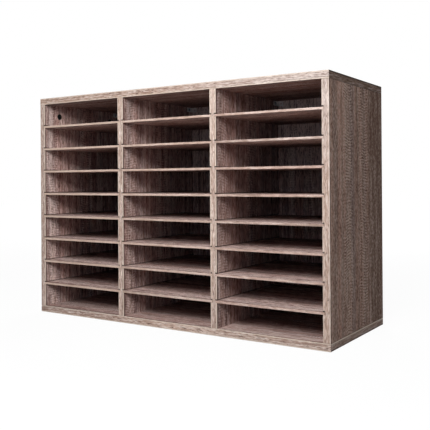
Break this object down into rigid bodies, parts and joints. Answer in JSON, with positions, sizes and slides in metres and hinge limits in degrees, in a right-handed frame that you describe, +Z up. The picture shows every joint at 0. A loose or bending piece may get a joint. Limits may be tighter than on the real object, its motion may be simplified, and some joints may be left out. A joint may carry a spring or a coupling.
{
  "type": "literature organizer",
  "caption": "Free-standing wood-grain literature organizer: a board cabinet divided into columns of letter-size pigeonholes by thin removable shelves held in grooves.",
  "frame": {"origin": "centre of the underside, on the surface that the cabinet stands on", "axes": "+X to the right seen from the open front, +Y from the open front to the back, +Z up"},
  "size_m": [0.805, 0.3, 0.55],
  "materials": {
    "oak_print_board": "matt grey-brown oak print on particleboard",
    "oak_print_fibreboard": "matt grey-brown oak print on thin fibreboard",
    "oak_print_edging": "pale oak-print edging",
    "dark_zinc": "dark die-cast zinc",
    "zinc_plated_steel": "bright zinc plating",
    "beech": "plain beech"
  },
  "bodies": {
    "cabinet": {"top_board": "oak_print_board", "bottom_board": "oak_print_board", "left_side": "oak_print_board", "right_side": "oak_print_board", "left_divider": "oak_print_board", "right_divider": "oak_print_board", "back_panel": "oak_print_fibreboard", "top_board_edging": "oak_print_edging", "bottom_board_edging": "oak_print_edging", "left_side_edging": "oak_print_edging", "left_divider_edging": "oak_print_edging", "right_divider_edging": "oak_print_edging", "right_side_edging": "oak_print_edging", "cam_locks": "dark_zinc", "cam_bolts": "zinc_plated_steel", "wooden_dowels": "beech", "base_screws": "zinc_plated_steel", "wall_brackets": "zinc_plated_steel", "bracket_screws": "zinc_plated_steel"},
    "left_shelf_1": {"left_shelf_1": "oak_print_fibreboard"},
    "left_shelf_2": {"left_shelf_2": "oak_print_fibreboard"},
    "left_shelf_3": {"left_shelf_3": "oak_print_fibreboard"},
    "left_shelf_4": {"left_shelf_4": "oak_print_fibreboard"},
    "left_shelf_5": {"left_shelf_5": "oak_print_fibreboard"},
    "left_shelf_6": {"left_shelf_6": "oak_print_fibreboard"},
    "left_shelf_7": {"left_shelf_7": "oak_print_fibreboard"},
    "left_shelf_8": {"left_shelf_8": "oak_print_fibreboard"},
    "middle_shelf_1": {"middle_shelf_1": "oak_print_fibreboard"},
    "middle_shelf_2": {"middle_shelf_2": "oak_print_fibreboard"},
    "middle_shelf_3": {"middle_shelf_3": "oak_print_fibreboard"},
    "middle_shelf_4": {"middle_shelf_4": "oak_print_fibreboard"},
    "middle_shelf_5": {"middle_shelf_5": "oak_print_fibreboard"},
    "middle_shelf_6": {"middle_shelf_6": "oak_print_fibreboard"},
    "middle_shelf_7": {"middle_shelf_7": "oak_print_fibreboard"},
    "middle_shelf_8": {"middle_shelf_8": "oak_print_fibreboard"},
    "right_shelf_1": {"right_shelf_1": "oak_print_fibreboard"},
    "right_shelf_2": {"right_shelf_2": "oak_print_fibreboard"},
    "right_shelf_3": {"right_shelf_3": "oak_print_fibreboard"},
    "right_shelf_4": {"right_shelf_4": "oak_print_fibreboard"},
    "right_shelf_5": {"right_shelf_5": "oak_print_fibreboard"},
    "right_shelf_6": {"right_shelf_6": "oak_print_fibreboard"},
    "right_shelf_7": {"right_shelf_7": "oak_print_fibreboard"},
    "right_shelf_8": {"right_shelf_8": "oak_print_fibreboard"}
  },
  "joints": [
    {"name": "left_shelf_1_slide", "type": "slide", "parent": "cabinet", "child": "left_shelf_1", "axis": [0, -1, 0], "range_m": [0, 0.3]},
    {"name": "left_shelf_2_slide", "type": "slide", "parent": "cabinet", "child": "left_shelf_2", "axis": [0, -1, 0], "range_m": [0, 0.3]},
    {"name": "left_shelf_3_slide", "type": "slide", "parent": "cabinet", "child": "left_shelf_3", "axis": [0, -1, 0], "range_m": [0, 0.3]},
    {"name": "left_shelf_4_slide", "type": "slide", "parent": "cabinet", "child": "left_shelf_4", "axis": [0, -1, 0], "range_m": [0, 0.3]},
    {"name": "left_shelf_5_slide", "type": "slide", "parent": "cabinet", "child": "left_shelf_5", "axis": [0, -1, 0], "range_m": [0, 0.3]},
    {"name": "left_shelf_6_slide", "type": "slide", "parent": "cabinet", "child": "left_shelf_6", "axis": [0, -1, 0], "range_m": [0, 0.3]},
    {"name": "left_shelf_7_slide", "type": "slide", "parent": "cabinet", "child": "left_shelf_7", "axis": [0, -1, 0], "range_m": [0, 0.3]},
    {"name": "left_shelf_8_slide", "type": "slide", "parent": "cabinet", "child": "left_shelf_8", "axis": [0, -1, 0], "range_m": [0, 0.3]},
    {"name": "middle_shelf_1_slide", "type": "slide", "parent": "cabinet", "child": "middle_shelf_1", "axis": [0, -1, 0], "range_m": [0, 0.3]},
    {"name": "middle_shelf_2_slide", "type": "slide", "parent": "cabinet", "child": "middle_shelf_2", "axis": [0, -1, 0], "range_m": [0, 0.3]},
    {"name": "middle_shelf_3_slide", "type": "slide", "parent": "cabinet", "child": "middle_shelf_3", "axis": [0, -1, 0], "range_m": [0, 0.3]},
    {"name": "middle_shelf_4_slide", "type": "slide", "parent": "cabinet", "child": "middle_shelf_4", "axis": [0, -1, 0], "range_m": [0, 0.3]},
    {"name": "middle_shelf_5_slide", "type": "slide", "parent": "cabinet", "child": "middle_shelf_5", "axis": [0, -1, 0], "range_m": [0, 0.3]},
    {"name": "middle_shelf_6_slide", "type": "slide", "parent": "cabinet", "child": "middle_shelf_6", "axis": [0, -1, 0], "range_m": [0, 0.3]},
    {"name": "middle_shelf_7_slide", "type": "slide", "parent": "cabinet", "child": "middle_shelf_7", "axis": [0, -1, 0], "range_m": [0, 0.3]},
    {"name": "middle_shelf_8_slide", "type": "slide", "parent": "cabinet", "child": "middle_shelf_8", "axis": [0, -1, 0], "range_m": [0, 0.3]},
    {"name": "right_shelf_1_slide", "type": "slide", "parent": "cabinet", "child": "right_shelf_1", "axis": [0, -1, 0], "range_m": [0, 0.3]},
    {"name": "right_shelf_2_slide", "type": "slide", "parent": "cabinet", "child": "right_shelf_2", "axis": [0, -1, 0], "range_m": [0, 0.3]},
    {"name": "right_shelf_3_slide", "type": "slide", "parent": "cabinet", "child": "right_shelf_3", "axis": [0, -1, 0], "range_m": [0, 0.3]},
    {"name": "right_shelf_4_slide", "type": "slide", "parent": "cabinet", "child": "right_shelf_4", "axis": [0, -1, 0], "range_m": [0, 0.3]},
    {"name": "right_shelf_5_slide", "type": "slide", "parent": "cabinet", "child": "right_shelf_5", "axis": [0, -1, 0], "range_m": [0, 0.3]},
    {"name": "right_shelf_6_slide", "type": "slide", "parent": "cabinet", "child": "right_shelf_6", "axis": [0, -1, 0], "range_m": [0, 0.3]},
    {"name": "right_shelf_7_slide", "type": "slide", "parent": "cabinet", "child": "right_shelf_7", "axis": [0, -1, 0], "range_m": [0, 0.3]},
    {"name": "right_shelf_8_slide", "type": "slide", "parent": "cabinet", "child": "right_shelf_8", "axis": [0, -1, 0], "range_m": [0, 0.3]}
  ]
}
